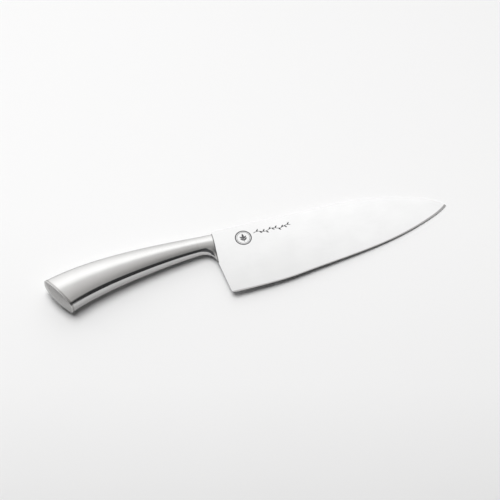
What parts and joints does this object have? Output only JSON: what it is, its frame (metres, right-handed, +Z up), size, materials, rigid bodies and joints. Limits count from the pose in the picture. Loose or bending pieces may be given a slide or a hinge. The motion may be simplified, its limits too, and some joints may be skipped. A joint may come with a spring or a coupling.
{
  "type": "chef knife",
  "caption": "Chef knife with a wide, pointed, flat-ground blade and a curved hollow steel handle with a domed butt cap, lying on its side.",
  "frame": {"origin": "bottom centre of the whole knife as it lies on its side", "axes": "+X along the blade towards the tip, +Y towards the spine of the blade, +Z up from the surface that it lies on"},
  "size_m": [0.2914, 0.0516, 0.0167],
  "materials": {
    "blade_steel": "finely satin polished lengthways, bright",
    "handle_steel": "satin polished lengthways, soft sheen",
    "cap_steel": "finely brushed, slightly duller than the handle",
    "weld_steel": "weld metal ground and polished flush",
    "inner_steel": "turned, unpolished",
    "sand": "dry grains"
  },
  "bodies": {
    "root": {"blade": "blade_steel", "bolster": "handle_steel", "tang_pin": "inner_steel", "handle_shell_upper": "handle_steel", "handle_shell_lower": "handle_steel", "spine_seam_weld": "weld_steel", "belly_seam_weld": "weld_steel", "neck_weld": "weld_steel", "butt_weld": "weld_steel", "butt_cap": "cap_steel", "balance_weight": "inner_steel", "sand_filling": "sand"}
  },
  "joints": []
}
